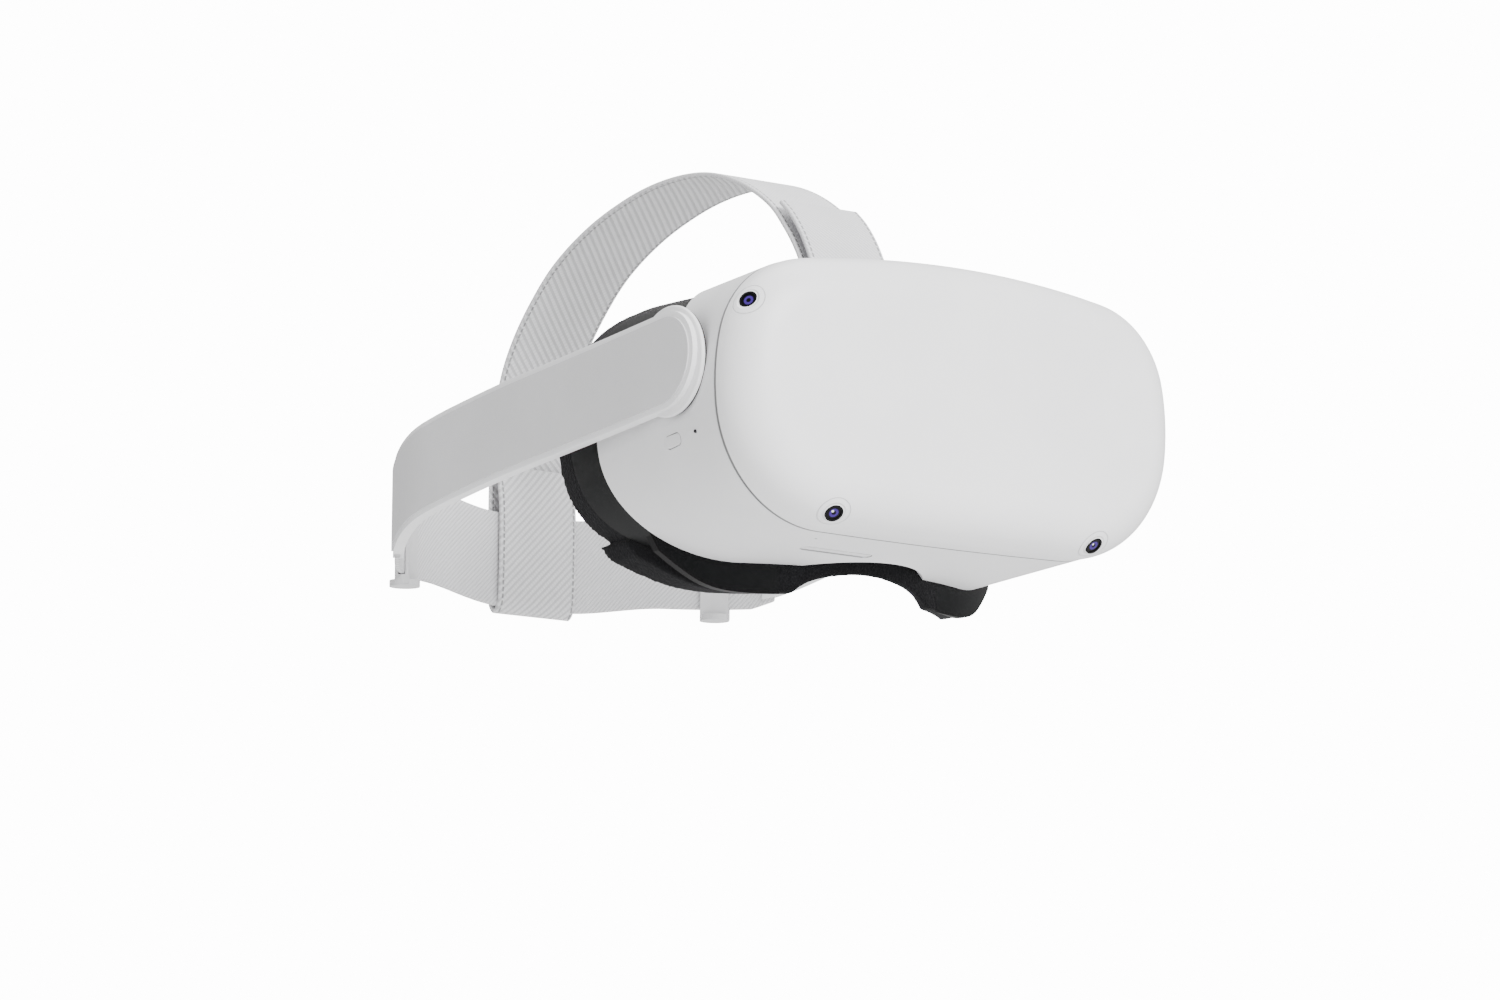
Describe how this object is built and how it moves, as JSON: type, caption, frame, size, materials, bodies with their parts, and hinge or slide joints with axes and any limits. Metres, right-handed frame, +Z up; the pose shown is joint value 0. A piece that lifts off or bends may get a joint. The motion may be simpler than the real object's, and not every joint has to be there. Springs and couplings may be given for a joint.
{
  "type": "vr headset",
  "caption": "Head-worn display with a rounded visor, removable face piece, sliding lenses, side arms, woven head strap and over-head strap.",
  "frame": {"origin": "centre of the bounding box in plan, at its lowest point", "axes": "+X towards the wearer's left, +Y towards the back of the head with the visor's front face on -Y, +Z up"},
  "size_m": [0.1916, 0.2616, 0.1583],
  "materials": {
    "white_shell": "smooth matte",
    "black_plastic": "satin",
    "dark_rubber": "matte",
    "camera_glass": "coated gloss",
    "lens_glass": "clear",
    "grey_skin": "matte",
    "strap_fabric": "woven",
    "foam_fabric": "knit over foam",
    "circuit_board": "satin",
    "steel": "brushed",
    "alloy": "plain",
    "cell_wrap": "film",
    "display_glass": "gloss",
    "led": "gloss"
  },
  "bodies": {
    "visor": {"audio_jack_socket": "black_plastic", "battery": "cell_wrap", "camera_lower_left": "black_plastic", "camera_lower_right": "black_plastic", "camera_upper_left": "black_plastic", "camera_upper_right": "black_plastic", "camera_window_lower_left": "camera_glass", "camera_window_lower_right": "camera_glass", "camera_window_upper_left": "camera_glass", "camera_window_upper_right": "camera_glass", "display_frame": "black_plastic", "display_panel": "display_glass", "fan_housing": "black_plastic", "frame_screws": "steel", "front_cover": "white_shell", "heat_spreader": "alloy", "housing": "white_shell", "ipd_guide_rods": "steel", "lens_surround": "black_plastic", "mainboard": "circuit_board", "power_switch": "black_plastic", "proximity_sensor": "camera_glass", "seam_gasket": "dark_rubber", "speaker_left": "black_plastic", "speaker_right": "black_plastic", "status_led": "led", "strap_post_left": "steel", "strap_post_right": "steel", "top_strap_bar": "black_plastic", "top_strap_front": "strap_fabric", "usb_c_socket": "steel", "volume_switch": "black_plastic"},
    "fan_wheel": {"fan_rotor": "black_plastic"},
    "lens_unit_left": {"lens_carrier_left": "black_plastic", "lens_left": "lens_glass"},
    "lens_unit_right": {"lens_carrier_right": "black_plastic", "lens_right": "lens_glass"},
    "power_key": {"power_button": "white_shell"},
    "volume_key": {"volume_rocker": "white_shell"},
    "face_piece": {"interface_frame": "black_plastic", "face_foam": "foam_fabric"},
    "head_strap": {"arm_left": "white_shell", "arm_right": "white_shell", "arm_skin_left": "grey_skin", "arm_skin_right": "grey_skin", "rear_strap": "strap_fabric", "top_strap_rear": "strap_fabric"},
    "size_clip_left": {"slider_left": "grey_skin"},
    "size_clip_right": {"slider_right": "grey_skin"}
  },
  "joints": [
    {"name": "fan_spin", "type": "hinge", "parent": "visor", "child": "fan_wheel", "pos_m": [-0.03, -0.11284, 0.06134], "axis": [0, 1, 0], "continuous": true},
    {"name": "lens_left_slide", "type": "slide", "parent": "visor", "child": "lens_unit_left", "axis": [1, 0, 0], "range_m": [-0.0025, 0.0025]},
    {"name": "lens_right_slide", "type": "slide", "parent": "visor", "child": "lens_unit_right", "axis": [1, 0, 0], "range_m": [-0.0025, 0.0025]},
    {"name": "power_press", "type": "slide", "parent": "visor", "child": "power_key", "axis": [1, 0, 0], "range_m": [0, 0.0005], "stiffness_N_per_m": 1200},
    {"name": "volume_rock", "type": "hinge", "parent": "visor", "child": "volume_key", "pos_m": [-0.027, -0.08833, 0.01384], "axis": [0, 1, 0], "range_deg": [-1.5, 1.5], "stiffness_Nm_per_rad": 1},
    {"name": "face_piece_pull", "type": "slide", "parent": "visor", "child": "face_piece", "axis": [0, 1, 0], "range_m": [0, 0.04]},
    {"name": "strap_pitch", "type": "hinge", "parent": "visor", "child": "head_strap", "pos_m": [0, -0.08483, 0.06884], "axis": [1, 0, 0], "range_deg": [-8, 20]},
    {"name": "size_clip_left_slide", "type": "hinge", "parent": "head_strap", "child": "size_clip_left", "pos_m": [0.0255, 0.05577, 0.04034], "axis": [0, 0, 1], "range_deg": [-7, 7]},
    {"name": "size_clip_right_slide", "type": "hinge", "parent": "head_strap", "child": "size_clip_right", "pos_m": [-0.0255, 0.05577, 0.04034], "axis": [0, 0, 1], "range_deg": [-7, 7]}
  ],
  "couplings": [
    {"joint": "lens_right_slide", "follows": "lens_left_slide", "ratio": -1}
  ]
}
